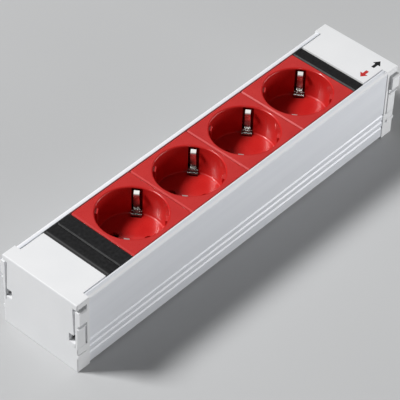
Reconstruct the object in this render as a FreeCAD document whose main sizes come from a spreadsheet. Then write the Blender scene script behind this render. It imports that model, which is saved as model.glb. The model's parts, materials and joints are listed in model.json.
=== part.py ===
import FreeCAD, Part
import math
import os
import Sketcher

# Rack socket module: an extruded aluminium channel closed by two moulded end caps with snap latches,
# filled with four earthed round socket inserts and three blanking strips, and fed from below by a
# recessed plug-in inlet. X runs along the module, -Y is the front wall, Z is up, and the origin is
# the centre of the bottom.

doc = FreeCAD.newDocument("rack_socket_module")

SOCKET_COUNT = 4
NEAR_BLANK_COUNT = 2
FLUTE_COUNT = 3

# Driving sizes in millimetres, angles in degrees
SIZES = {
    # Socket cups and the plug that they take
    "cup_radius": 19.7,
    "cup_depth": 18.6,
    "cup_rim_round": 1.0,
    "cup_floor_round": 1.0,
    "cup_wall": 1.6,
    "cup_floor_thick": 2.0,
    "cup_draft": 0.4,
    "bezel": 2.8,
    "socket_turn": 35,
    "pin_pitch": 19,
    "pin_hole_radius": 2.7,
    "pin_length": 19,
    "pin_end_gap": 0.5,
    "guide_width": 4.0,
    "guide_proud": 1.6,
    "guide_drop": 1.6,
    "clip_slot_drop": 0.9,
    "clip_slot_past": 1.3,
    "clip_gap": 0.8,
    "clip_side_gap": 0.2,
    # Insert mouldings
    "insert_gap": 0.3,
    "insert_skin": 2.4,
    "insert_wall": 1.6,
    "insert_edge": 0.7,
    "skirt_below": 1.5,
    "face_drop": 0.3,
    "slide_gap": 0.25,
    "lip_gap": 0.8,
    # Extruded channel
    "opening_extra": 1.6,
    "lip_flat": 0.8,
    "lip_slope": 2.6,
    "lip_drop": 1.6,
    "lip_thick": 2.6,
    "groove_height": 2.2,
    "ledge_thick": 1.4,
    "ledge_slope": 1.2,
    "side_wall": 2.2,
    "floor_wall": 2.4,
    "foot_drop": 0.6,
    "profile_inset": 0.3,
    "profile_edge": 1.0,
    "flute_first": 9.3,
    "flute_pitch": 4.75,
    "flute_height": 1.5,
    "flute_depth": 1.05,
    "flute_lip": 0.2,
    # End caps
    "cap_length": 9,
    "cap_seam": 0.15,
    "cap_end_wall": 2.5,
    "cap_side": 5.6,
    "cap_round": 0.6,
    "plate_length": 25.6,
    "plate_skin": 2.4,
    "plate_rim": 1.6,
    "notch_width": 4.6,
    "notch_height": 6.0,
    "notch_low": 20.4,
    "lug_low": 10.4,
    "lug_height": 2.8,
    "lug_proud": 0.5,
    "cap_foot_length": 8.5,
    "cap_foot_width": 6,
    "cap_foot_height": 6,
    "cap_foot_offset": 17,
    # Latch tongues
    "latch_width": 6,
    "latch_thick": 1.4,
    "latch_inset": 0.1,
    "latch_root": 17.5,
    "latch_drop": 5,
    "latch_head_gap": 1.4,
    "latch_slit": 1.3,
    "latch_swing": 2.5,
    "latch_spare": 0.7,
    "slot_foot": 1.1,
    "heel_gap": 0.5,
    "pivot_gap": 0.05,
    "thumb_height": 9.6,
    "thumb_proud": 1.9,
    "thumb_edge": 0.7,
    "ridge_below_thumb": 2.2,
    "ridge_height": 1.2,
    "ridge_proud": 1.2,
    # Blanking strips
    "near_blank_length": 10.3,
    "far_blank_length": 8.2,
    "blank_depth": 8,
    "blank_wall": 1.3,
    # Current path
    "wiring_space": 7.4,
    "busbar_thick": 1.2,
    "busbar_width": 3.4,
    "busbar_overhang": 5,
    "busbar_bend": 0.5,
    "sleeve_radius": 3.3,
    "sleeve_wall": 0.8,
    "sleeve_slit": 1.0,
    "sleeve_slit_depth": 11,
    "sleeve_drop": 0.4,
    "strip_thick": 0.8,
    "strip_bend": 0.4,
    "strip_lift": 0.6,
    "strip_foot_width": 5.8,
    "strip_arm_width": 3.6,
    "strip_tip_width": 3.0,
    "strip_leg_inset": 3.3,
    "strip_foot_length": 3.0,
    "strip_bulge_inset": 3.3,
    "strip_bulge_drop": 2.8,
    "strip_tip_inset": 1.2,
    "strip_tip_drop": 1.3,
    "post_radius": 1.5,
    # Contact carriers
    "carrier_gap": 0.2,
    "carrier_skin": 3.0,
    "carrier_wall": 1.6,
    "carrier_lift": 2.6,
    "carrier_groove": 1.2,
    "boss_wall": 1.2,
    "bore_gap": 0.15,
    # Plug-in inlet
    "inlet_length": 24,
    "inlet_wall": 2.5,
    "inlet_rise": 14.4,
    "inlet_roof": 3.0,
    "inlet_margin": 3.8,
    "inlet_ear_length": 12,
    "inlet_ear_thick": 2.0,
    "inlet_ear_end": 4.0,
    "inlet_screw_gap": 1.2,
    "riser_gap": 0.6,
    "riser_space": 2.6,
    "blade_width": 6,
    "blade_thick": 1.2,
    "blade_cover": 3.0,
    "blade_taper": 1.0,
    # Countersunk screws
    "screw_radius": 1.4,
    "screw_head_radius": 2.8,
    "screw_length": 7.5,
    "screw_sink": 0.05,
    "screw_gap": 0.2,
    "pilot_gap": 0.05,
}

# Places worked out from the driving sizes
PLACES = {
    "pitch": "2 * (sizes.cup_radius + sizes.bezel)",
    "opening": "pitch + sizes.opening_extra",
    "profile_half": "opening / 2 + sizes.lip_flat + sizes.lip_slope",
    "half_width": "profile_half + sizes.profile_inset",
    "wall_inner": "profile_half - sizes.side_wall",
    "stack_length": (
        f"{NEAR_BLANK_COUNT} * sizes.near_blank_length + {SOCKET_COUNT} * pitch"
        " + sizes.far_blank_length"
    ),
    "half_length": "stack_length / 2 + sizes.plate_length",
    "profile_length": "2 * (half_length - sizes.cap_length - sizes.cap_seam)",
    "floor_top": "sizes.foot_drop + sizes.floor_wall",
    "busbar_low": "floor_top + sizes.wiring_space",
    "busbar_top": "busbar_low + sizes.busbar_thick",
    "cup_floor": "busbar_top + sizes.pin_end_gap + sizes.pin_length",
    "insert_top": "cup_floor + sizes.cup_depth",
    "top": "insert_top + sizes.face_drop",
    "carrier_top": "cup_floor - sizes.cup_floor_thick",
    "insert_low": "carrier_top - sizes.skirt_below",
    "groove_top": "top - sizes.lip_thick",
    "groove_low": "groove_top - sizes.groove_height",
    "ledge_low": "groove_low - sizes.ledge_thick",
    "slide_half": "opening / 2 - sizes.lip_gap",
    "rib_half": "wall_inner - sizes.slide_gap",
    "rib_top": "groove_top - sizes.slide_gap",
    "rib_low": "groove_low + sizes.slide_gap",
    "stack_start": "-stack_length / 2",
    "sockets_start": f"stack_start + {NEAR_BLANK_COUNT} * sizes.near_blank_length",
    "first_socket": "sockets_start + pitch / 2",
    "pin_x": "sizes.pin_pitch / 2 * sin(sizes.socket_turn)",
    "pin_y": "sizes.pin_pitch / 2 * cos(sizes.socket_turn)",
    "clip_slot_half": "sizes.strip_foot_width / 2 + sizes.clip_side_gap",
    "strip_leg": "sizes.cup_radius - sizes.strip_leg_inset",
    "strip_arm": "strip_leg + sizes.strip_foot_length",
    "strip_bulge": "sizes.cup_radius - sizes.strip_bulge_inset",
    "strip_tip": "sizes.cup_radius - sizes.strip_tip_inset",
    "clip_slot_inner": "strip_leg - sizes.clip_gap",
    "clip_slot_outer": "sizes.cup_radius + sizes.cup_wall + sizes.clip_slot_past",
    "latch_top": "top - sizes.latch_drop",
    "latch_head": "latch_top + sizes.latch_head_gap",
    "thumb_low": "latch_top - sizes.thumb_height",
    "ridge_low": "thumb_low - sizes.ridge_below_thumb - sizes.ridge_height",
    "latch_axis": "half_width - sizes.latch_inset - sizes.latch_thick / 2",
    "latch_back": "sizes.latch_inset + sizes.latch_thick",
    "slot_head": "(latch_head - sizes.latch_root) * tan(sizes.latch_swing) + sizes.latch_spare",
    "notch_end": "latch_back + sizes.notch_width",
    "notch_high": "sizes.notch_low + sizes.notch_height",
    "cap_screw_x": "half_length - sizes.cap_length - sizes.cap_foot_length / 2",
    "strip_low": "carrier_top - sizes.carrier_groove",
    "strip_foot": "cup_floor + sizes.strip_lift",
    "bulge_height": "insert_top - sizes.strip_bulge_drop",
    "tip_height": "insert_top - sizes.strip_tip_drop",
    "strip_lean": "atan((strip_arm - strip_bulge) / (bulge_height - strip_foot))",
    "strip_lead": "atan((strip_tip - strip_bulge) / (tip_height - bulge_height))",
    "carrier_low": "busbar_top + sizes.carrier_lift",
    "inlet_x": "sockets_start - sizes.riser_space - sizes.inlet_length / 2",
    "inlet_half": "pin_y + sizes.inlet_margin + sizes.inlet_wall",
    "inlet_top": "sizes.foot_drop + sizes.inlet_rise",
    "inlet_screw_y": "inlet_half + sizes.screw_head_radius + sizes.inlet_screw_gap",
    "inlet_ear_reach": "inlet_screw_y + sizes.inlet_ear_end",
    "riser_x": "inlet_x + sizes.inlet_length / 2 + sizes.riser_gap",
    "hole_radius": "sizes.screw_radius + sizes.screw_gap",
    "pilot_radius": "sizes.screw_radius + sizes.pilot_gap",
    "screw_low": "sizes.foot_drop + sizes.screw_sink",
}

sizes = doc.addObject("Spreadsheet::Sheet", "sizes")
for row, (alias, value) in enumerate(SIZES.items(), start=1):
    sizes.set(f"A{row}", alias)
    sizes.set(f"B{row}", str(value))
    sizes.setAlias(f"B{row}", alias)
doc.recompute()

places = doc.addObject("Spreadsheet::Sheet", "places")
for row, (alias, formula) in enumerate(PLACES.items(), start=1):
    places.set(f"A{row}", alias)
    places.set(f"B{row}", "=" + formula)
    places.setAlias(f"B{row}", alias)
    doc.recompute()

nodes = []


# Drawing helpers: every coordinate is an expression on the two sheets


def new_body(label, x="0", turn="0"):
    """A named body whose own frame is moved along X and turned about Z."""
    body = doc.addObject("PartDesign::Body", label)
    body.Label = label
    body.setExpression("Placement.Base.x", x)
    body.setExpression("Placement.Rotation.Angle", turn)
    nodes.append(body)
    return body


def bind_point(sketch, geometry, vertex, x, y):
    """Hold one point of a sketch at two expressions measured from the sketch's origin."""
    for kind, expression in (("DistanceX", x), ("DistanceY", y)):
        index = sketch.addConstraint(Sketcher.Constraint(kind, -1, 1, geometry, vertex, 1.0))
        sketch.setExpression(f"Constraints[{index}]", expression)


def add_outline(sketch, corners):
    """A closed outline of straight edges through corners given as pairs of expressions."""
    first = sketch.GeometryCount
    count = len(corners)
    ring = [
        FreeCAD.Vector(math.cos(2 * math.pi * i / count), math.sin(2 * math.pi * i / count), 0)
        for i in range(count)
    ]
    for i in range(count):
        sketch.addGeometry(Part.LineSegment(ring[i], ring[(i + 1) % count]))
    for i in range(count):
        follower = first + (i + 1) % count
        sketch.addConstraint(Sketcher.Constraint("Coincident", first + i, 2, follower, 1))
    for i, (x, y) in enumerate(corners):
        bind_point(sketch, first + i, 1, x, y)


def add_circle(sketch, x, y, radius):
    """A circle with its centre and radius given as expressions."""
    index = sketch.addGeometry(Part.Circle(FreeCAD.Vector(0, 0, 0), FreeCAD.Vector(0, 0, 1), 1))
    bind_point(sketch, index, 3, x, y)
    constraint = sketch.addConstraint(Sketcher.Constraint("Radius", index, 1.0))
    sketch.setExpression(f"Constraints[{constraint}]", radius)


def rect(x_low, y_low, x_high, y_high):
    """The corners of an upright rectangle."""
    return [(x_low, y_low), (x_high, y_low), (x_high, y_high), (x_low, y_high)]


def mirrored(corners):
    """A symmetric outline: the given right half, then its reflection in the upright axis."""
    return corners + [(f"-({x})", y) for x, y in reversed(corners)]


def draw(body, name, role, outlines=(), circles=(), offset="0", turn="0"):
    """A sketch on one of the body's own origin planes, shifted along its normal and turned in it."""
    plane = [feature for feature in body.Origin.OriginFeatures if feature.Role == role][0]
    sketch = body.newObject("Sketcher::SketchObject", name)
    sketch.AttachmentSupport = [(plane, "")]
    sketch.MapMode = "FlatFace"
    sketch.setExpression("AttachmentOffset.Base.z", offset)
    sketch.setExpression("AttachmentOffset.Rotation.Angle", turn)
    for corners in outlines:
        add_outline(sketch, corners)
    for x, y, radius in circles:
        add_circle(sketch, x, y, radius)
    return sketch


def pad(body, sketch, length, symmetric=False, backwards=False):
    """Material along the sketch's normal, or against it when backwards."""
    feature = body.newObject("PartDesign::Pad", sketch.Name + "_pad")
    feature.Profile = sketch
    feature.Midplane = symmetric
    feature.Reversed = backwards
    feature.setExpression("Length", length)
    return feature


def cut(body, sketch, length, symmetric=False, forwards=False):
    """A pocket against the sketch's normal, or along it when forwards."""
    feature = body.newObject("PartDesign::Pocket", sketch.Name + "_pocket")
    feature.Profile = sketch
    feature.Midplane = symmetric
    feature.Reversed = forwards
    feature.setExpression("Length", length)
    return feature


def edges_where(feature, test):
    """The names of a feature's edges whose ends all pass a test of their place."""
    return [
        f"Edge{index}"
        for index, edge in enumerate(feature.Shape.Edges, start=1)
        if all(test(vertex.Point) for vertex in edge.Vertexes)
    ]


def same(value, target):
    return math.isclose(value, target, abs_tol=1e-6)


def round_edges(body, name, feature, edges, radius):
    """A fillet of one radius on named edges of the body's last feature."""
    fillet = body.newObject("PartDesign::Fillet", name)
    fillet.Base = (feature, edges)
    fillet.setExpression("Radius", radius)
    doc.recompute()
    return fillet


def round_bends(body, name, feature, spots, radius):
    """A fillet on the cross edges of a bent strip, found by their places in its side view."""
    for spot, (x, z) in enumerate(spots, start=1):
        place = (body.evalExpression(x), body.evalExpression(z))
        edges = edges_where(feature, lambda p: same(p.x, place[0]) and same(p.z, place[1]))
        feature = round_edges(body, f"{name}_{spot}", feature, edges, radius)
    return feature


# Extruded channel


def channel_half():
    """Right half of the channel's section: bottom edge, fluted wall, lip, insert groove and floor."""
    points = [
        ("places.profile_half - sizes.profile_edge", "sizes.foot_drop"),
        ("places.profile_half", "sizes.foot_drop + sizes.profile_edge"),
    ]
    for flute in range(FLUTE_COUNT):
        height = f"(sizes.flute_first + {flute} * sizes.flute_pitch)"
        points += [
            ("places.profile_half", f"{height} - sizes.flute_height"),
            ("places.profile_half - sizes.flute_depth", height),
            ("places.profile_half", f"{height} + sizes.flute_lip"),
        ]
    points += [
        ("places.profile_half", "places.top - sizes.lip_drop"),
        ("places.profile_half - sizes.lip_slope", "places.top"),
        ("places.opening / 2", "places.top"),
        ("places.opening / 2", "places.groove_top"),
        ("places.wall_inner", "places.groove_top"),
        ("places.wall_inner", "places.groove_low"),
        ("places.opening / 2", "places.groove_low"),
        ("places.opening / 2", "places.ledge_low"),
        ("places.wall_inner", "places.ledge_low - sizes.ledge_slope"),
        ("places.wall_inner", "places.floor_top"),
    ]
    return points


def build_profile():
    body = new_body("housing_profile")
    section = draw(body, "profile_section", "YZ_Plane", [mirrored(channel_half())])
    pad(body, section, "places.profile_length", symmetric=True)

    clearance = "sizes.slide_gap"
    window = draw(
        body,
        "profile_window",
        "XY_Plane",
        [
            rect(
                f"places.inlet_x - sizes.inlet_length / 2 - {clearance}",
                f"-places.inlet_half - {clearance}",
                f"places.inlet_x + sizes.inlet_length / 2 + {clearance}",
                f"places.inlet_half + {clearance}",
            )
        ],
        offset="places.floor_top",
    )
    cut(body, window, "2 * sizes.floor_wall")

    holes = draw(
        body,
        "profile_holes",
        "XY_Plane",
        circles=[(x, y, "places.hole_radius") for x, y in CAP_SCREWS + INLET_SCREWS],
        offset="places.floor_top",
    )
    drilled = cut(body, holes, "2 * sizes.floor_wall")
    doc.recompute()

    rims = [
        f"Edge{index}"
        for index, edge in enumerate(drilled.Shape.Edges, start=1)
        if isinstance(edge.Curve, Part.Circle) and same(edge.Vertexes[0].Z, sizes.foot_drop)
    ]
    sink = body.newObject("PartDesign::Chamfer", "profile_countersinks")
    sink.Base = (drilled, rims)
    sink.setExpression("Size", "sizes.screw_head_radius - sizes.screw_radius")
    body.Tip = sink


# End caps and their latches


def side_point(side, inward, height):
    """A point of the end view, measured inward from the cap's front (-1) or back (1) face."""
    return (f"{side} * (places.half_width - ({inward}))", height)


def build_end_cap(label, x, turn):
    """A cap drawn with its outer face at x = 0 and its plate towards +X."""
    body = new_body(label, x, turn)
    outer = draw(
        body,
        label + "_block",
        "YZ_Plane",
        [rect("-places.half_width", "0", "places.half_width", "places.top")],
    )
    block = pad(body, outer, "sizes.cap_length")
    doc.recompute()
    joint_edges = edges_where(block, lambda p: same(p.x, sizes.cap_length))
    outer_edges = [name for name in edges_where(block, lambda p: True) if name not in joint_edges]
    round_edges(body, label + "_rounds", block, outer_edges, "sizes.cap_round")

    cavity_half = "(places.half_width - sizes.cap_side)"
    cavity = draw(
        body,
        label + "_cavity",
        "YZ_Plane",
        [rect(f"-{cavity_half}", "places.floor_top", cavity_half, "places.rib_low")],
        offset="sizes.cap_length",
    )
    cut(body, cavity, "sizes.cap_length - sizes.cap_end_wall")

    plate_half = [
        ("places.rib_half", "places.rib_low"),
        ("places.rib_half", "places.rib_top"),
        ("places.slide_half", "places.rib_top"),
        ("places.slide_half", "places.top"),
    ]
    plate = draw(
        body, label + "_plate", "YZ_Plane", [mirrored(plate_half)], offset="sizes.cap_length"
    )
    pad(body, plate, "sizes.plate_length - sizes.cap_length")
    hollow_half = "(places.slide_half - sizes.plate_rim)"
    hollow = draw(
        body,
        label + "_plate_hollow",
        "XY_Plane",
        [
            rect(
                "sizes.cap_length",
                f"-{hollow_half}",
                "sizes.plate_length - sizes.plate_rim",
                hollow_half,
            )
        ],
        offset="places.rib_low",
    )
    cut(body, hollow, "places.top - sizes.plate_skin - places.rib_low", forwards=True)

    foot_end = "sizes.cap_length + sizes.cap_foot_length"
    feet = []
    for side in (-1, 1):
        near_edge = f"{side} * sizes.cap_foot_offset - sizes.cap_foot_width / 2"
        far_edge = f"{side} * sizes.cap_foot_offset + sizes.cap_foot_width / 2"
        feet.append(rect("sizes.cap_end_wall", near_edge, foot_end, far_edge))
    foot = draw(body, label + "_feet", "XY_Plane", feet, offset="places.floor_top")
    pad(body, foot, "sizes.cap_foot_height")
    pilot_x = "sizes.cap_length + sizes.cap_foot_length / 2"
    pilots = draw(
        body,
        label + "_pilots",
        "XY_Plane",
        circles=[
            (pilot_x, f"{side} * sizes.cap_foot_offset", "places.pilot_radius") for side in (-1, 1)
        ],
        offset="places.floor_top",
    )
    cut(body, pilots, "sizes.cap_foot_height", forwards=True)

    lugs = draw(
        body,
        label + "_lugs",
        "YZ_Plane",
        [
            [
                side_point(side, "sizes.lug_proud", "sizes.lug_low"),
                side_point(side, "-sizes.lug_proud", "sizes.lug_low + sizes.lug_proud"),
                side_point(
                    side, "-sizes.lug_proud", "sizes.lug_low + sizes.lug_height - sizes.lug_proud"
                ),
                side_point(side, "sizes.lug_proud", "sizes.lug_low + sizes.lug_height"),
            ]
            for side in (-1, 1)
        ],
    )
    pad(body, lugs, "sizes.latch_width")

    outside = "-sizes.cap_side"
    back = "places.latch_back"
    slots = draw(
        body,
        label + "_latch_slots",
        "YZ_Plane",
        [
            [
                side_point(side, outside, "sizes.latch_root"),
                side_point(side, f"{back} + sizes.pivot_gap", "sizes.latch_root"),
                side_point(side, f"{back} + sizes.pivot_gap", "places.latch_head"),
                side_point(side, outside, "places.latch_head"),
            ]
            for side in (-1, 1)
        ],
    )
    cut(body, slots, "sizes.latch_width + sizes.latch_slit", forwards=True)
    slit_corners = [
        (back, "sizes.latch_root"),
        (f"{back} + sizes.heel_gap", "sizes.latch_root"),
        (f"{back} + sizes.heel_gap", "sizes.notch_low"),
        ("places.notch_end", "sizes.notch_low"),
        ("places.notch_end", "places.notch_high"),
        (f"{back} + sizes.slot_foot", "places.notch_high"),
        (f"{back} + places.slot_head", "places.latch_head"),
        (back, "places.latch_head"),
    ]
    slits = draw(
        body,
        label + "_latch_slits",
        "YZ_Plane",
        [
            [side_point(side, inward, height) for inward, height in slit_corners]
            for side in (-1, 1)
        ],
    )
    cut(body, slits, "sizes.cap_length", forwards=True)
    seats = draw(
        body,
        label + "_latch_seats",
        "YZ_Plane",
        circles=[
            (
                f"{side} * places.latch_axis",
                "sizes.latch_root",
                "sizes.latch_thick / 2 + sizes.pivot_gap",
            )
            for side in (-1, 1)
        ],
    )
    cut(body, seats, "sizes.latch_width + sizes.latch_slit", forwards=True)


def build_latch(label, side, x, turn):
    """A tongue with a half-round root, a small ridge and a raised thumb pad at its free end."""
    body = new_body(label, x, turn)
    face = "sizes.latch_inset"
    ridge = f"{face} - sizes.ridge_proud"
    thumb = f"{face} - sizes.thumb_proud"
    back = "places.latch_back"
    corners = [
        (back, "sizes.latch_root"),
        (face, "sizes.latch_root"),
        (face, "places.ridge_low"),
        (ridge, "places.ridge_low + sizes.ridge_height / 2"),
        (ridge, "places.ridge_low + sizes.ridge_height"),
        (face, "places.ridge_low + sizes.ridge_height"),
        (face, "places.thumb_low"),
        (thumb, "places.thumb_low + sizes.thumb_edge"),
        (thumb, "places.latch_top - sizes.thumb_edge"),
        (f"{thumb} + sizes.thumb_edge", "places.latch_top"),
        (back, "places.latch_top"),
    ]
    outline = [side_point(side, inward, height) for inward, height in corners]
    tongue = draw(body, label + "_tongue", "YZ_Plane", [outline])
    pad(body, tongue, "sizes.latch_width")
    root = draw(
        body,
        label + "_root",
        "YZ_Plane",
        circles=[(f"{side} * places.latch_axis", "sizes.latch_root", "sizes.latch_thick / 2")],
    )
    pad(body, root, "sizes.latch_width")


# Pieces that slide into the channel's grooves


def block_outline(length, low):
    """Side view of a moulding with small bevels along its two upper edges."""
    half = f"(({length}) / 2)"
    edge = "sizes.insert_edge"
    return [
        (half, low),
        (half, f"places.insert_top - {edge}"),
        (f"{half} - {edge}", "places.insert_top"),
    ]


def add_slide_ribs(body, label, length):
    """Ribs along both sides that run under the channel's lips."""
    ribs = [
        [
            (f"{side} * (places.slide_half - sizes.insert_wall / 2)", "places.rib_low"),
            (f"{side} * places.rib_half", "places.rib_low"),
            (f"{side} * places.rib_half", "places.rib_top"),
            (f"{side} * (places.slide_half - sizes.insert_wall / 2)", "places.rib_top"),
        ]
        for side in (-1, 1)
    ]
    pad(body, draw(body, label + "_ribs", "YZ_Plane", ribs), length, symmetric=True)


def build_insert(number, x):
    """A square moulding with a round cup, clip slots and guide ribs on opposite diagonals."""
    label = f"socket_insert_{number}"
    body = new_body(label, x)
    length = "(places.pitch - sizes.insert_gap)"
    block = draw(
        body, label + "_block", "XZ_Plane", [mirrored(block_outline(length, "places.insert_low"))]
    )
    pad(body, block, "2 * places.slide_half", symmetric=True)

    inner_x = f"({length} / 2 - sizes.insert_wall)"
    inner_y = "(places.slide_half - sizes.insert_wall)"
    shell = draw(
        body,
        label + "_shell",
        "XY_Plane",
        [rect(f"-{inner_x}", f"-{inner_y}", inner_x, inner_y)],
        offset="places.insert_low",
    )
    cut(
        body, shell, "places.insert_top - sizes.insert_skin - places.insert_low", forwards=True
    )
    well = draw(
        body,
        label + "_well",
        "XY_Plane",
        circles=[("0", "0", "sizes.cup_radius + sizes.cup_wall")],
        offset="places.carrier_top",
    )
    pad(body, well, "places.insert_top - sizes.insert_skin / 2 - places.carrier_top")

    cup = draw(
        body,
        label + "_cup",
        "XZ_Plane",
        [
            [
                ("0", "places.cup_floor"),
                ("sizes.cup_radius - sizes.cup_draft", "places.cup_floor"),
                ("sizes.cup_radius", "places.insert_top"),
                ("0", "places.insert_top"),
            ]
        ],
    )
    hollow = body.newObject("PartDesign::Groove", label + "_hollow")
    hollow.Profile = cup
    hollow.ReferenceAxis = (cup, ["V_Axis"])
    hollow.Angle = 360
    doc.recompute()
    wall_foot = sizes.cup_radius - sizes.cup_draft
    foot = edges_where(hollow, lambda p: same(math.hypot(p.x, p.y), wall_foot))
    soft = round_edges(body, label + "_floor_round", hollow, foot, "sizes.cup_floor_round")
    rim = edges_where(soft, lambda p: same(math.hypot(p.x, p.y), sizes.cup_radius))
    round_edges(body, label + "_rim_round", soft, rim, "sizes.cup_rim_round")

    guides = [
        rect(
            f"{side} * sizes.cup_radius - sizes.guide_proud",
            "-sizes.guide_width / 2",
            f"{side} * sizes.cup_radius + sizes.guide_proud",
            "sizes.guide_width / 2",
        )
        for side in (-1, 1)
    ]
    guide = draw(
        body,
        label + "_guides",
        "XY_Plane",
        guides,
        offset="places.carrier_top",
        turn="sizes.socket_turn - 90",
    )
    pad(body, guide, "places.insert_top - sizes.guide_drop - places.carrier_top")

    add_slide_ribs(body, label, length)

    slots = []
    for side in (-1, 1):
        slots.append(
            [
                (f"{side} * places.clip_slot_inner", "-places.clip_slot_half"),
                (f"{side} * places.clip_slot_outer", "-places.clip_slot_half"),
                (f"{side} * places.clip_slot_outer", "places.clip_slot_half"),
                (f"{side} * places.clip_slot_inner", "places.clip_slot_half"),
            ]
        )
    slot = draw(
        body,
        label + "_clip_slots",
        "XY_Plane",
        slots,
        offset="places.insert_top - sizes.clip_slot_drop",
        turn="sizes.socket_turn",
    )
    cut(body, slot, "places.insert_top - sizes.clip_slot_drop - places.carrier_top")

    holes = draw(
        body,
        label + "_pin_holes",
        "XY_Plane",
        circles=[
            (f"{side} * sizes.pin_pitch / 2", "0", "sizes.pin_hole_radius") for side in (-1, 1)
        ],
        offset="places.cup_floor",
        turn="sizes.socket_turn - 90",
    )
    cut(body, holes, "sizes.cup_floor_thick")


def build_blank(label, x, length):
    """A blanking strip: a shallow channel moulding, open below."""
    body = new_body(label, x)
    strip = f"({length} - sizes.insert_gap)"
    low = "(places.insert_top - sizes.blank_depth)"
    block = draw(body, label + "_block", "XZ_Plane", [mirrored(block_outline(strip, low))])
    pad(body, block, "2 * places.slide_half", symmetric=True)
    inner_x = f"({strip} / 2 - sizes.blank_wall)"
    inner_y = "(places.slide_half - sizes.insert_wall)"
    shell = draw(
        body,
        label + "_shell",
        "XY_Plane",
        [rect(f"-{inner_x}", f"-{inner_y}", inner_x, inner_y)],
        offset=low,
    )
    cut(body, shell, "sizes.blank_depth - sizes.insert_skin", forwards=True)
    add_slide_ribs(body, label, strip)


# Contacts behind each cup


def build_carrier(number, x):
    """A tray that closes the back of an insert and holds its contacts in two bosses."""
    label = f"contact_carrier_{number}"
    body = new_body(label, x)
    half_x = "((places.pitch - sizes.insert_gap) / 2 - sizes.insert_wall - sizes.carrier_gap)"
    half_y = "(places.slide_half - sizes.insert_wall - sizes.carrier_gap)"
    height = "(places.carrier_top - places.carrier_low)"
    tray = draw(
        body,
        label + "_tray",
        "XY_Plane",
        [rect(f"-{half_x}", f"-{half_y}", half_x, half_y)],
        offset="places.carrier_low",
    )
    pad(body, tray, height)
    wall = "sizes.carrier_wall"
    inside = draw(
        body,
        label + "_inside",
        "XY_Plane",
        [
            rect(
                f"-({half_x} - {wall})",
                f"-({half_y} - {wall})",
                f"{half_x} - {wall}",
                f"{half_y} - {wall}",
            )
        ],
        offset="places.carrier_low",
    )
    cut(body, inside, f"{height} - sizes.carrier_skin", forwards=True)

    turn = "sizes.socket_turn - 90"
    bore = "(sizes.sleeve_radius + sizes.bore_gap)"
    seats = [(f"{side} * sizes.pin_pitch / 2", "0") for side in (-1, 1)]
    bosses = draw(
        body,
        label + "_bosses",
        "XY_Plane",
        circles=[(u, v, f"{bore} + sizes.boss_wall") for u, v in seats],
        offset="places.carrier_low",
        turn=turn,
    )
    pad(body, bosses, f"{height} - sizes.carrier_skin / 2")
    bores = draw(
        body,
        label + "_bores",
        "XY_Plane",
        circles=[(u, v, bore) for u, v in seats]
        + [("0", "0", "sizes.post_radius + sizes.bore_gap")],
        offset="places.carrier_top",
        turn=turn,
    )
    cut(body, bores, height)

    reach = "(places.strip_leg + sizes.strip_thick + sizes.bore_gap)"
    groove = draw(
        body,
        label + "_groove",
        "XY_Plane",
        [
            rect(
                f"-{reach}",
                "-sizes.strip_foot_width / 2 - sizes.bore_gap",
                reach,
                "sizes.strip_foot_width / 2 + sizes.bore_gap",
            )
        ],
        offset="places.carrier_top",
        turn="sizes.socket_turn",
    )
    cut(body, groove, "sizes.carrier_groove")


def build_earth_bracket(number, x):
    """One bent strip: a bridge under the cup, two narrowed clips inside it and a riveted post."""
    label = f"earth_bracket_{number}"
    body = new_body(label, x, "sizes.socket_turn")
    thick = "sizes.strip_thick"
    foot_low = "places.strip_foot"
    bulge = "places.bulge_height"
    tip = "places.tip_height"
    mitre_turn = "((places.strip_lead - places.strip_lean) / 2)"
    mitre = f"({thick} / cos((places.strip_lead + places.strip_lean) / 2))"
    half = [
        (f"places.strip_leg + {thick}", "places.strip_low"),
        (f"places.strip_leg + {thick}", foot_low),
        (f"places.strip_arm + {thick}", foot_low),
        (
            f"places.strip_bulge + {mitre} * cos({mitre_turn})",
            f"{bulge} - {mitre} * sin({mitre_turn})",
        ),
        (
            f"places.strip_tip + {thick} * cos(places.strip_lead)",
            f"{tip} - {thick} * sin(places.strip_lead)",
        ),
        ("places.strip_tip", tip),
        ("places.strip_bulge", bulge),
        ("places.strip_arm", f"{foot_low} + {thick}"),
        ("places.strip_leg", f"{foot_low} + {thick}"),
        ("places.strip_leg", f"places.strip_low + {thick}"),
    ]
    strip = draw(body, label + "_strip", "XZ_Plane", [mirrored(half)])
    bent = pad(body, strip, "sizes.strip_foot_width", symmetric=True)
    doc.recompute()
    outside_bends = [half[index] for index in (0, 8, 2, 6)]
    inside_bends = [half[index] for index in (9, 1, 7, 3)]
    both_sides = [(f"{side} * ({x})", z) for x, z in outside_bends for side in (-1, 1)]
    bent = round_bends(body, label + "_bend", bent, both_sides, f"sizes.strip_bend + {thick}")
    both_sides = [(f"{side} * ({x})", z) for x, z in inside_bends for side in (-1, 1)]
    round_bends(body, label + "_crease", bent, both_sides, "sizes.strip_bend")

    shoulder = f"{foot_low} + {thick} + sizes.strip_bend"
    sides = [
        [
            (f"{side} * sizes.strip_arm_width / 2", shoulder),
            (f"{side} * sizes.strip_foot_width", shoulder),
            (f"{side} * sizes.strip_foot_width", f"{tip} + {thick}"),
            (f"{side} * sizes.strip_tip_width / 2", f"{tip} + {thick}"),
            (f"{side} * sizes.strip_tip_width / 2", tip),
        ]
        for side in (-1, 1)
    ]
    taper = draw(body, label + "_taper", "YZ_Plane", sides)
    cut(body, taper, f"2 * (places.strip_arm + 2 * {thick})", symmetric=True)
    post = draw(
        body,
        label + "_post",
        "XY_Plane",
        circles=[("0", "0", "sizes.post_radius")],
        offset="places.busbar_top",
    )
    pad(body, post, f"places.strip_low + {thick} / 2 - places.busbar_top")


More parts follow.
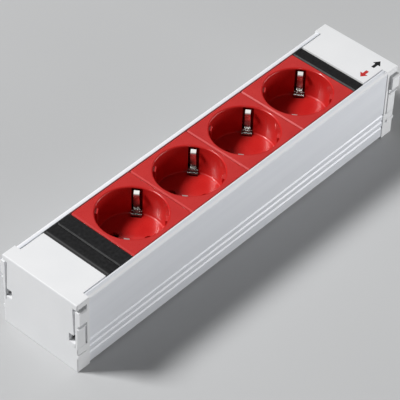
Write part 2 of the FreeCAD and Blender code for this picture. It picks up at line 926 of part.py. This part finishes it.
def build_sleeve(label, x, side):
    """A slit sleeve that grips one plug pin and stands on its busbar."""
    body = new_body(label, f"{x} - ({side}) * places.pin_x")
    height = "(places.carrier_top - sizes.sleeve_drop - places.busbar_top)"
    y = f"({side}) * places.pin_y"
    ring = draw(
        body,
        label + "_ring",
        "XY_Plane",
        circles=[
            ("0", y, "sizes.sleeve_radius"),
            ("0", y, "sizes.sleeve_radius - sizes.sleeve_wall"),
        ],
        offset="places.busbar_top",
    )
    pad(body, ring, height)
    slit = draw(
        body,
        label + "_slit",
        "XY_Plane",
        [
            rect(
                "-2 * sizes.sleeve_radius",
                f"{y} - sizes.sleeve_slit / 2",
                "2 * sizes.sleeve_radius",
                f"{y} + sizes.sleeve_slit / 2",
            )
        ],
        offset=f"places.busbar_top + {height}",
    )
    cut(body, slit, "sizes.sleeve_slit_depth")


def build_busbar(label, y):
    """A bent bar: a run under the sockets, a riser beside the inlet and a tail on its roof."""
    body = new_body(label)
    bar_end = (
        f"places.first_socket + {SOCKET_COUNT - 1} * places.pitch + places.pin_x"
        " + sizes.busbar_overhang"
    )
    roof_top = "places.inlet_top + sizes.busbar_thick"
    riser_far = "places.riser_x + sizes.busbar_thick"
    tail = "places.inlet_x + sizes.blade_width / 2"
    creases = [(riser_far, "places.busbar_top"), ("places.riser_x", "places.inlet_top")]
    bends = [("places.riser_x", "places.busbar_low"), (riser_far, roof_top)]
    side_view = draw(
        body,
        label + "_bar",
        "XZ_Plane",
        [
            [
                (bar_end, "places.busbar_low"),
                (bar_end, "places.busbar_top"),
                creases[0],
                bends[1],
                (tail, roof_top),
                (tail, "places.inlet_top"),
                creases[1],
                bends[0],
            ]
        ],
    )
    bar = pad(body, side_view, "sizes.busbar_width", symmetric=True)
    doc.recompute()
    bar = round_bends(body, label + "_bend", bar, bends, "sizes.busbar_bend + sizes.busbar_thick")
    round_bends(body, label + "_crease", bar, creases, "sizes.busbar_bend")
    body.setExpression("Placement.Base.y", y)


# Plug-in inlet in the channel's floor


def build_inlet():
    label = "inlet_housing"
    body = new_body(label, "places.inlet_x")
    half_x = "(sizes.inlet_length / 2)"
    block = draw(
        body,
        label + "_block",
        "XY_Plane",
        [rect(f"-{half_x}", "-places.inlet_half", half_x, "places.inlet_half")],
        offset="sizes.foot_drop",
    )
    pad(body, block, "sizes.inlet_rise")
    ears = draw(
        body,
        label + "_ears",
        "XY_Plane",
        [
            rect(
                "-sizes.inlet_ear_length / 2",
                "-places.inlet_ear_reach",
                "sizes.inlet_ear_length / 2",
                "places.inlet_ear_reach",
            )
        ],
        offset="places.floor_top",
    )
    pad(body, ears, "sizes.inlet_ear_thick")
    inner_x = f"({half_x} - sizes.inlet_wall)"
    inner_y = "(places.inlet_half - sizes.inlet_wall)"
    recess = draw(
        body,
        label + "_recess",
        "XY_Plane",
        [rect(f"-{inner_x}", f"-{inner_y}", inner_x, inner_y)],
        offset="sizes.foot_drop",
    )
    cut(body, recess, "sizes.inlet_rise - sizes.inlet_roof", forwards=True)
    slots = draw(
        body,
        label + "_blade_slots",
        "XY_Plane",
        [
            rect(
                "-sizes.blade_width / 2 - sizes.pilot_gap",
                f"{y} - sizes.blade_thick / 2 - sizes.pilot_gap",
                "sizes.blade_width / 2 + sizes.pilot_gap",
                f"{y} + sizes.blade_thick / 2 + sizes.pilot_gap",
            )
            for y in POLES.values()
        ],
        offset="places.inlet_top",
    )
    cut(body, slots, "sizes.inlet_roof")
    pilots = draw(
        body,
        label + "_pilots",
        "XY_Plane",
        circles=[
            ("0", f"{side} * places.inlet_screw_y", "places.pilot_radius") for side in (-1, 1)
        ],
        offset="places.floor_top",
    )
    cut(body, pilots, "sizes.inlet_ear_thick", forwards=True)


def build_blade(label, y):
    """A flat contact blade that stands in the recess and passes through the roof."""
    body = new_body(label, "places.inlet_x")
    low = "(sizes.foot_drop + sizes.blade_cover)"
    half = "(sizes.blade_width / 2)"
    side_view = draw(
        body,
        label + "_side",
        "XZ_Plane",
        [
            mirrored(
                [
                    (f"{half} - sizes.blade_taper", low),
                    (half, f"{low} + sizes.blade_taper"),
                    (half, "places.inlet_top + sizes.busbar_thick"),
                ]
            )
        ],
    )
    pad(body, side_view, "sizes.blade_thick", symmetric=True)
    body.setExpression("Placement.Base.y", y)


# Countersunk screws

CAP_SCREWS = [
    (f"{end} * places.cap_screw_x", f"{side} * sizes.cap_foot_offset")
    for end in (-1, 1)
    for side in (-1, 1)
]
INLET_SCREWS = [("places.inlet_x", f"{side} * places.inlet_screw_y") for side in (-1, 1)]


def build_screw(name, x, y, length):
    """A screw standing head down: a cone for the head and a plain shank."""
    head = doc.addObject("Part::Cone", name + "_head")
    head.setExpression("Radius1", "sizes.screw_head_radius")
    head.setExpression("Radius2", "sizes.screw_radius")
    head.setExpression("Height", "sizes.screw_head_radius - sizes.screw_radius")
    shank = doc.addObject("Part::Cylinder", name + "_shank")
    shank.setExpression("Radius", "sizes.screw_radius")
    shank.setExpression("Height", length)
    screw = doc.addObject("Part::Fuse", name)
    screw.Base = head
    screw.Tool = shank
    screw.setExpression("Placement.Base.x", x)
    screw.setExpression("Placement.Base.y", y)
    screw.setExpression("Placement.Base.z", "places.screw_low")
    return screw


def build_screws(label, spots, length):
    """A set of like screws, each its own solid, in one node."""
    group = doc.addObject("Part::Compound", label)
    group.Label = label
    group.Links = [
        build_screw(f"{label}_{index}", x, y, length) for index, (x, y) in enumerate(spots, start=1)
    ]
    nodes.append(group)


# The three poles and the place of each across the module
POLES = {"live": "-places.pin_y", "earth": "0", "neutral": "places.pin_y"}

build_profile()
build_end_cap("end_cap_near", "-places.half_length", "0")
build_end_cap("end_cap_far", "places.half_length", "180")
for end, sign, turn in (("near", -1, "0"), ("far", 1, "180")):
    # The far end is the near end turned half round, so its front is on the other side of its own frame
    place = f"{sign} * places.half_length"
    build_latch(f"latch_{end}_front", sign, place, turn)
    build_latch(f"latch_{end}_back", -sign, place, turn)

for number in range(1, SOCKET_COUNT + 1):
    centre = f"(places.first_socket + {number - 1} * places.pitch)"
    build_insert(number, centre)
    build_carrier(number, centre)
    build_earth_bracket(number, centre)
    build_sleeve(f"live_contact_{number}", centre, -1)
    build_sleeve(f"neutral_contact_{number}", centre, 1)

for pole, y in POLES.items():
    build_busbar(f"busbar_{pole}", y)
    build_blade(f"inlet_blade_{pole}", y)

for index, name in enumerate(("outer", "inner")):
    middle = f"places.stack_start + ({index} + 0.5) * sizes.near_blank_length"
    build_blank(f"blank_near_{name}", middle, "sizes.near_blank_length")
build_blank(
    "blank_far", "-places.stack_start - sizes.far_blank_length / 2", "sizes.far_blank_length"
)
build_inlet()
build_screws("cap_screws", CAP_SCREWS, "sizes.screw_length")
build_screws("inlet_screws", INLET_SCREWS, "sizes.floor_wall + sizes.inlet_ear_thick")
doc.recompute()

# Every feature has to be sound, and every cut has to take material away, before anything is written
for item in doc.Objects:
    if {"Invalid", "Error"} & set(item.State):
        raise RuntimeError(f"{item.Label} failed: {item.State}")
    if item.TypeId in ("PartDesign::Pocket", "PartDesign::Groove"):
        if item.Shape.Volume >= item.BaseFeature.Shape.Volume:
            raise RuntimeError(f"{item.Label} cuts nothing")
for node in nodes:
    if node.Shape.isNull() or not node.Shape.isValid():
        raise RuntimeError(f"{node.Label} has no valid shape")

os.makedirs("parts", exist_ok=True)
for node in nodes:
    node.Shape.exportStep(f"parts/{node.Label}.step")
print(len(nodes), "nodes written")
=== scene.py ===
import json
import math

import bmesh
import bpy
from mathutils import Matrix, Vector


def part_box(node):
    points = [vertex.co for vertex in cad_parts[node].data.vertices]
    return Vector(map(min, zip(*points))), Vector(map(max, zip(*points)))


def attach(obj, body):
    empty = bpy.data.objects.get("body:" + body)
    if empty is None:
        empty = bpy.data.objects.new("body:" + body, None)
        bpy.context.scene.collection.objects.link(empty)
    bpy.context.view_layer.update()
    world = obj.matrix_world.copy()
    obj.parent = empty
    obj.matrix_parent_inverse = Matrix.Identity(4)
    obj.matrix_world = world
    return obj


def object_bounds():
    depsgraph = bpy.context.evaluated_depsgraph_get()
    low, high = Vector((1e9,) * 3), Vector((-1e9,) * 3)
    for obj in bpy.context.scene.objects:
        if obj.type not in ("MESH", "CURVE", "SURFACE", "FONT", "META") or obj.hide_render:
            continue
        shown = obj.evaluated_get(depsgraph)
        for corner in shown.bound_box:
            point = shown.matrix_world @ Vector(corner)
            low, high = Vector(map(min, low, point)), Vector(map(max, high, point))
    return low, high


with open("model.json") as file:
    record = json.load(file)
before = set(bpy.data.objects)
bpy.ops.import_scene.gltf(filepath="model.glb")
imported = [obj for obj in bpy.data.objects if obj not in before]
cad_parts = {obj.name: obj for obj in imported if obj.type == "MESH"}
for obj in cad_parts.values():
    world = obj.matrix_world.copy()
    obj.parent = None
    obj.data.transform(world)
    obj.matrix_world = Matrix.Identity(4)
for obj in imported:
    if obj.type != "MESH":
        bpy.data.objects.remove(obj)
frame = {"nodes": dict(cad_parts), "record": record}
cad_low, cad_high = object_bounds()
nodes = frame["nodes"]

MM = 0.001

# Faces of the part's box, in millimetres, from which the places below are measured
FRONT = cad_low.y / MM
FAR_END = cad_high.x / MM
TOP = cad_high.z / MM

# Camera: where it stands, seen from the point that it looks at, with its distance and reach in metres
# and its lens and sensor in millimetres
CAMERA_AZIMUTH = math.radians(-139.34)
CAMERA_ELEVATION = math.radians(43.82)
CAMERA_ROLL = math.radians(2.18)
CAMERA_DISTANCE = 1.2215
CAMERA_TARGET = Vector((-6.61, 0.0, 20.96)) * MM
CAMERA_LENS = 200.4
CAMERA_SENSOR = 36.0
CAMERA_REACH = 20.0

# Lamps: turn from the camera's azimuth and elevation in degrees, distance and size in metres, watts
LAMPS = {
    "key": {"turn": -88, "elevation": 47, "distance": 3.0, "width": 0.7, "height": 0.7, "power": 104.0},
    "back": {"turn": 178, "elevation": 46, "distance": 2.4, "width": 1.0, "height": 1.0, "power": 1.6},
    "fill": {"turn": 93, "elevation": 8, "distance": 0.85, "width": 0.8, "height": 0.26, "power": 4.7},
    "front": {"turn": 0, "elevation": 70, "distance": 2.0, "width": 0.2, "height": 0.2, "power": 1.2},
}

# Light of the world, and half the floor's width in metres
WORLD_COLOUR = (1.0, 1.0, 1.0, 1.0)
WORLD_STRENGTH = 0.03
FLOOR_HALF = 3.0

# Colours: the dark and the light end of each finish, and the painted highlights on the lips and the outer
# blank
ALUMINIUM_DARK = (0.79, 0.81, 0.855)
ALUMINIUM_LIGHT = (0.835, 0.855, 0.895)
ALUMINIUM_PAINTED_HIGHLIGHT = (0.93, 0.93, 0.94)
CAP_DARK = (0.805, 0.813, 0.825)
CAP_LIGHT = (0.84, 0.845, 0.855)
RED_DARK = (0.525, 0.015, 0.014)
RED_LIGHT = (0.575, 0.022, 0.019)
BLACK_DARK = (0.003, 0.003, 0.0033)
BLACK_LIGHT = (0.016, 0.016, 0.017)
BLACK_PAINTED_HIGHLIGHT = (0.08, 0.08, 0.08)
# The nickel's dark end lies well below the metal's own tone: painted shade for the lower strip
NICKEL_DARK = (0.34, 0.31, 0.28)
NICKEL_LIGHT = (0.96, 0.95, 0.93)
BRASS_DARK = (0.60, 0.40, 0.13)
BRASS_LIGHT = (0.76, 0.55, 0.22)
STEEL_DARK = (0.50, 0.50, 0.51)
STEEL_LIGHT = (0.66, 0.66, 0.68)
FLOOR_DARK = (0.50, 0.505, 0.51)
FLOOR_LIGHT = (0.53, 0.535, 0.54)

# Noise values between which a finish turns from dark to light, and from smooth to rough
RAMP_LOW = 0.3
RAMP_HIGH = 0.7

# Painted highlights on the lips' outer rims and on the outer blank's bevel: their middle and how far the
# tone reaches from it
LIP_HIGHLIGHT = TOP - 1.1
LIP_HIGHLIGHT_REACH = 1.8
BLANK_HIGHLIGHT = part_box("blank_near_outer")[0].x / MM + 1.75
BLANK_HIGHLIGHT_REACH = 2.8

# Heights between which the earth strips turn from smooth with painted shade to matt and pale, worn by the
# plug
SHADE_TO_RUB_LOW = TOP - 5.5
SHADE_TO_RUB_HIGH = TOP - 3.5

# Printed arrows on the far plate: the line that both lie on, and each one's start and length
ARROW_LINE = FRONT + 11.3
ARROW_OUT_START = FAR_END - 11.4
ARROW_OUT_LENGTH = 7.2
ARROW_IN_START = FAR_END - 15.8
ARROW_IN_LENGTH = 6.6

# Shape of an arrow: its head's width, the shaft's share of it and of the length, and the print's thickness
ARROW_WIDTH = 5.2
ARROW_SHAFT_SHARE = 0.36
ARROW_NECK_SHARE = 0.5
PRINT_THICK = 0.03


class Finish:
    """A node material in the making, with sizes in millimetres of the part's own frame."""

    def __init__(self, name, **constants):
        """Constants are set on the shader's sockets, named with underscores for spaces."""
        self.material = bpy.data.materials.new(name)
        self.material.use_nodes = True
        self.nodes = self.material.node_tree.nodes
        self.links = self.material.node_tree.links
        self.shader = self.nodes["Principled BSDF"]
        self.place = self.nodes.new("ShaderNodeTexCoord").outputs["Object"]
        for socket, value in constants.items():
            self.shader.inputs[socket.replace("_", " ")].default_value = value

    def noise(self, size, detail=2.0, stretch=(1.0, 1.0, 1.0)):
        """A noise value whose features are about size millimetres, longer by stretch along each axis."""
        mapping = self.nodes.new("ShaderNodeMapping")
        mapping.inputs["Scale"].default_value = [1.0 / (size * MM * longer) for longer in stretch]
        texture = self.nodes.new("ShaderNodeTexNoise")
        texture.inputs["Scale"].default_value = 1.0
        texture.inputs["Detail"].default_value = detail
        self.links.new(self.place, mapping.inputs["Vector"])
        self.links.new(mapping.outputs["Vector"], texture.inputs["Vector"])
        return texture.outputs["Fac"]

    def along(self, axis):
        """The place along one axis, in metres."""
        parts = self.nodes.new("ShaderNodeSeparateXYZ")
        self.links.new(self.place, parts.inputs["Vector"])
        return parts.outputs[axis]

    def combine(self, operation, *values):
        """The outcome of a math operation on sockets and plain numbers."""
        node = self.nodes.new("ShaderNodeMath")
        node.operation = operation
        for socket, value in zip(node.inputs, values):
            if isinstance(value, float):
                socket.default_value = value
            else:
                self.links.new(value, socket)
        return node.outputs["Value"]

    def span(self, value, start, end, low=0.0, high=1.0):
        """A value that runs from low, where the given one is start, to high, where it is end."""
        node = self.nodes.new("ShaderNodeMapRange")
        node.inputs["From Min"].default_value = start
        node.inputs["From Max"].default_value = end
        node.inputs["To Min"].default_value = low
        node.inputs["To Max"].default_value = high
        self.links.new(value, node.inputs["Value"])
        return node.outputs["Result"]

    def band(self, axis, centre, reach):
        """A value that falls from 1 at the centre on that axis to 0 at reach from it, in millimetres."""
        offset = self.combine("SUBTRACT", self.along(axis), centre * MM)
        return self.span(self.combine("ABSOLUTE", offset), 0.0, reach * MM, low=1.0, high=0.0)

    def colour(self, factor, dark, light, highlight=None):
        """Base colour that runs from dark to light with the factor, and on to the painted highlight at a
        factor of 1.
        """
        ramp = self.nodes.new("ShaderNodeValToRGB")
        first, last = ramp.color_ramp.elements
        first.position = RAMP_LOW
        first.color = (*dark, 1.0)
        last.position = RAMP_HIGH
        last.color = (*light, 1.0)
        if highlight:
            ramp.color_ramp.elements.new(1.0).color = (*highlight, 1.0)
        self.links.new(factor, ramp.inputs["Fac"])
        self.links.new(ramp.outputs["Color"], self.shader.inputs["Base Color"])

    def roughness(self, factor, low, high):
        """Roughness that runs from low to high with the factor."""
        self.links.new(self.span(factor, RAMP_LOW, RAMP_HIGH, low, high), self.shader.inputs["Roughness"])

    def relief(self, factor, depth):
        """Fine relief that is depth millimetres from its lowest to its highest point."""
        bump = self.nodes.new("ShaderNodeBump")
        bump.inputs["Distance"].default_value = depth * MM
        self.links.new(factor, bump.inputs["Height"])
        self.links.new(bump.outputs["Normal"], self.shader.inputs["Normal"])


def aluminium_finish():
    """Matt anodised extrusion with fine die lines along the module and a painted highlight along the outer
    rim of each lip.
    """
    finish = Finish("aluminium_anodised", Metallic=0.08, Specular_IOR_Level=0.5)
    lines = finish.noise(size=0.35, detail=3.0, stretch=(260.0, 1.0, 1.0))
    streaks = finish.noise(size=6.0, stretch=(30.0, 1.0, 1.0))
    # Paler band along each lip's outer rim: painted highlight, not a tone of the metal
    highlight = finish.band("Z", LIP_HIGHLIGHT, LIP_HIGHLIGHT_REACH)
    finish.colour(finish.combine("MAXIMUM", streaks, highlight), ALUMINIUM_DARK, ALUMINIUM_LIGHT, ALUMINIUM_PAINTED_HIGHLIGHT)
    finish.roughness(lines, low=0.36, high=0.50)
    finish.relief(lines, depth=0.012)
    return finish.material


def cap_finish():
    """Light grey moulded plastic with a fine spark-eroded grain."""
    finish = Finish("cap_plastic_grained", Specular_IOR_Level=0.25)
    grain = finish.noise(size=0.28)
    cloud = finish.noise(size=24.0)
    finish.colour(cloud, CAP_DARK, CAP_LIGHT)
    finish.roughness(grain, low=0.56, high=0.72)
    finish.relief(grain, depth=0.015)
    return finish.material


def red_finish():
    """Signal red moulded plastic, polished in the tool, with faint flow marks."""
    finish = Finish("socket_red_gloss", Specular_IOR_Level=0.3, Coat_Weight=0.35, Coat_Roughness=0.04)
    flow = finish.noise(size=9.0)
    skin = finish.noise(size=0.6)
    finish.colour(flow, RED_DARK, RED_LIGHT)
    finish.roughness(skin, low=0.26, high=0.36)
    finish.relief(skin, depth=0.006)
    return finish.material


def black_finish(name, grain_size, depth, painted_highlight=False):
    """Black moulded plastic with a matt grain, on request with a painted highlight along the bevel beside
    the near plate.
    """
    finish = Finish(name, Specular_IOR_Level=0.35)
    grain = finish.noise(size=grain_size)
    cloud = finish.noise(size=1.6, detail=3.0)
    if painted_highlight:
        # Paler band beside the near plate: painted highlight of the bevel, not a tone of the plastic
        highlight = finish.band("X", BLANK_HIGHLIGHT, BLANK_HIGHLIGHT_REACH)
        finish.colour(finish.combine("MAXIMUM", cloud, highlight), BLACK_DARK, BLACK_LIGHT, BLACK_PAINTED_HIGHLIGHT)
    else:
        finish.colour(cloud, BLACK_DARK, BLACK_LIGHT)
    finish.roughness(grain, low=0.46, high=0.62)
    finish.relief(grain, depth)
    return finish.material


def nickel_finish():
    """Plated spring strip: smooth below, its colour darkened there as painted shade of the dark cup it
    mirrors; matt and pale where a plug slides past, partly wear and partly painted highlight.
    """
    finish = Finish("contact_nickel_plated", Metallic=1.0)
    rubbed_and_painted_shade = finish.span(finish.along("Z"), SHADE_TO_RUB_LOW * MM, SHADE_TO_RUB_HIGH * MM)
    cloud = finish.noise(size=4.0, detail=3.0)
    lines = finish.noise(size=0.2, stretch=(1.0, 1.0, 14.0))
    # Dark lower strip is painted shade; the pale top is partly wear, partly painted highlight
    finish.colour(finish.combine("MAXIMUM", cloud, rubbed_and_painted_shade), NICKEL_DARK, NICKEL_LIGHT)
    finish.roughness(rubbed_and_painted_shade, low=0.24, high=0.58)
    finish.relief(lines, depth=0.006)
    return finish.material


def metal_finish(name, dark, light, smooth, rough, stretch=(1.0, 1.0, 1.0)):
    """Bare or plated metal with fine lines, drawn out by stretch, and a cloud of tarnish."""
    finish = Finish(name, Metallic=1.0)
    cloud = finish.noise(size=4.0, detail=3.0)
    lines = finish.noise(size=0.2, stretch=stretch)
    finish.colour(cloud, dark, light)
    finish.roughness(lines, smooth, rough)
    finish.relief(lines, depth=0.006)
    return finish.material


def brass_finish():
    """Bare brass, drawn along the module."""
    name = "contact_brass_bare"
    drawn = (20.0, 1.0, 1.0)
    return metal_finish(name, BRASS_DARK, BRASS_LIGHT, smooth=0.26, rough=0.42, stretch=drawn)


def steel_finish():
    """Zinc plated steel of the screws."""
    return metal_finish("screw_zinc_plated", STEEL_DARK, STEEL_LIGHT, smooth=0.28, rough=0.44)


def floor_finish():
    """Plain pale floor with a faint cloud."""
    finish = Finish("floor_pale", Specular_IOR_Level=0.1)
    cloud = finish.noise(size=400.0)
    finish.colour(cloud, FLOOR_DARK, FLOOR_LIGHT)
    finish.roughness(cloud, low=0.8, high=0.9)
    return finish.material


def add_object(name, data):
    """A new object in the scene."""
    item = bpy.data.objects.new(name, data)
    bpy.context.scene.collection.objects.link(item)
    return item


def direction(azimuth, elevation):
    """Unit vector towards a place at that azimuth and elevation."""
    level = math.cos(elevation)
    return Vector((level * math.cos(azimuth), level * math.sin(azimuth), math.sin(elevation)))


def arrow(name, start, length, turn, slot):
    """A flat printed arrow on the far plate, from its start on the line, turned by degrees."""
    shaft = ARROW_SHAFT_SHARE * ARROW_WIDTH / 2
    head = ARROW_WIDTH / 2
    neck = ARROW_NECK_SHARE * length
    outline = [
        (0.0, -shaft),
        (neck, -shaft),
        (neck, -head),
        (length, 0.0),
        (neck, head),
        (neck, shaft),
        (0.0, shaft),
    ]
    mesh = bmesh.new()
    face = mesh.faces.new([mesh.verts.new((x * MM, y * MM, 0.0)) for x, y in outline])
    extruded = bmesh.ops.extrude_face_region(mesh, geom=[face])
    lifted = [item for item in extruded["geom"] if isinstance(item, bmesh.types.BMVert)]
    bmesh.ops.translate(mesh, verts=lifted, vec=(0.0, 0.0, PRINT_THICK * MM))
    bmesh.ops.recalc_face_normals(mesh, faces=mesh.faces)
    data = bpy.data.meshes.new(name)
    mesh.to_mesh(data)
    mesh.free()
    data.materials.append(finishes[slot])
    piece = add_object(name, data)
    piece.location = Vector((start, ARROW_LINE, TOP)) * MM
    piece.rotation_euler.z = math.radians(turn)
    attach(piece, "housing")


def place_lamp(name, turn, elevation, distance, width, height, power):
    """A soft lamp that faces the camera's target."""
    data = bpy.data.lights.new(name, "AREA")
    data.shape = "RECTANGLE"
    data.size = width
    data.size_y = height
    data.energy = power
    towards = direction(CAMERA_AZIMUTH + math.radians(turn), math.radians(elevation))
    lamp = add_object(name, data)
    lamp.location = CAMERA_TARGET + towards * distance
    lamp.rotation_mode = "QUATERNION"
    lamp.rotation_quaternion = (-towards).to_track_quat("-Z", "Y")


# Every node of the construction takes the finish of its slot
finishes = {
    "aluminium": aluminium_finish(),
    "cap_plastic": cap_finish(),
    "socket_red": red_finish(),
    "blank_black": black_finish("blank_black_grained", grain_size=0.35, depth=0.03, painted_highlight=True),
    "inner_black": black_finish("inner_black_matt", grain_size=0.6, depth=0.02),
    "contact_nickel": nickel_finish(),
    "contact_brass": brass_finish(),
    "screw_steel": steel_finish(),
}
for subpart in frame["record"]["subparts"]:
    node = nodes[subpart["node"]]
    node.data.materials.clear()
    node.data.materials.append(finishes[subpart["material_slot"]])

# Printed arrows
arrow("direction_mark_out", ARROW_OUT_START, ARROW_OUT_LENGTH, turn=0, slot="blank_black")
arrow("direction_mark_in", ARROW_IN_START, ARROW_IN_LENGTH, turn=180, slot="socket_red")

# Floor
floor_data = bpy.data.meshes.new("floor")
floor_corners = [(x * FLOOR_HALF, y * FLOOR_HALF, 0.0) for x, y in ((-1, -1), (1, -1), (1, 1), (-1, 1))]
floor_data.from_pydata(floor_corners, [], [(0, 1, 2, 3)])
floor_data.materials.append(floor_finish())
floor = add_object("floor", floor_data)

# Lamps and world
for lamp_name, setting in LAMPS.items():
    place_lamp(lamp_name, **setting)
world = bpy.data.worlds.new("studio")
world.use_nodes = True
sky = world.node_tree.nodes["Background"]
sky.inputs["Color"].default_value = WORLD_COLOUR
sky.inputs["Strength"].default_value = WORLD_STRENGTH
bpy.context.scene.world = world

# Camera, whose axes are turned by the roll about its line of sight
back = direction(CAMERA_AZIMUTH, CAMERA_ELEVATION)
level_right = Vector((0.0, 0.0, 1.0)).cross(back).normalized()
level_up = back.cross(level_right)
right = math.cos(CAMERA_ROLL) * level_right + math.sin(CAMERA_ROLL) * level_up
up = back.cross(right)
camera_data = bpy.data.cameras.new("camera")
camera_data.lens = CAMERA_LENS
camera_data.sensor_width = CAMERA_SENSOR
camera_data.clip_end = CAMERA_REACH
camera = add_object("camera", camera_data)
axes = Matrix((right, up, back)).transposed().to_4x4()
camera.matrix_world = Matrix.Translation(CAMERA_TARGET + back * CAMERA_DISTANCE) @ axes
bpy.context.scene.camera = camera
bpy.context.scene.view_settings.view_transform = "Standard"
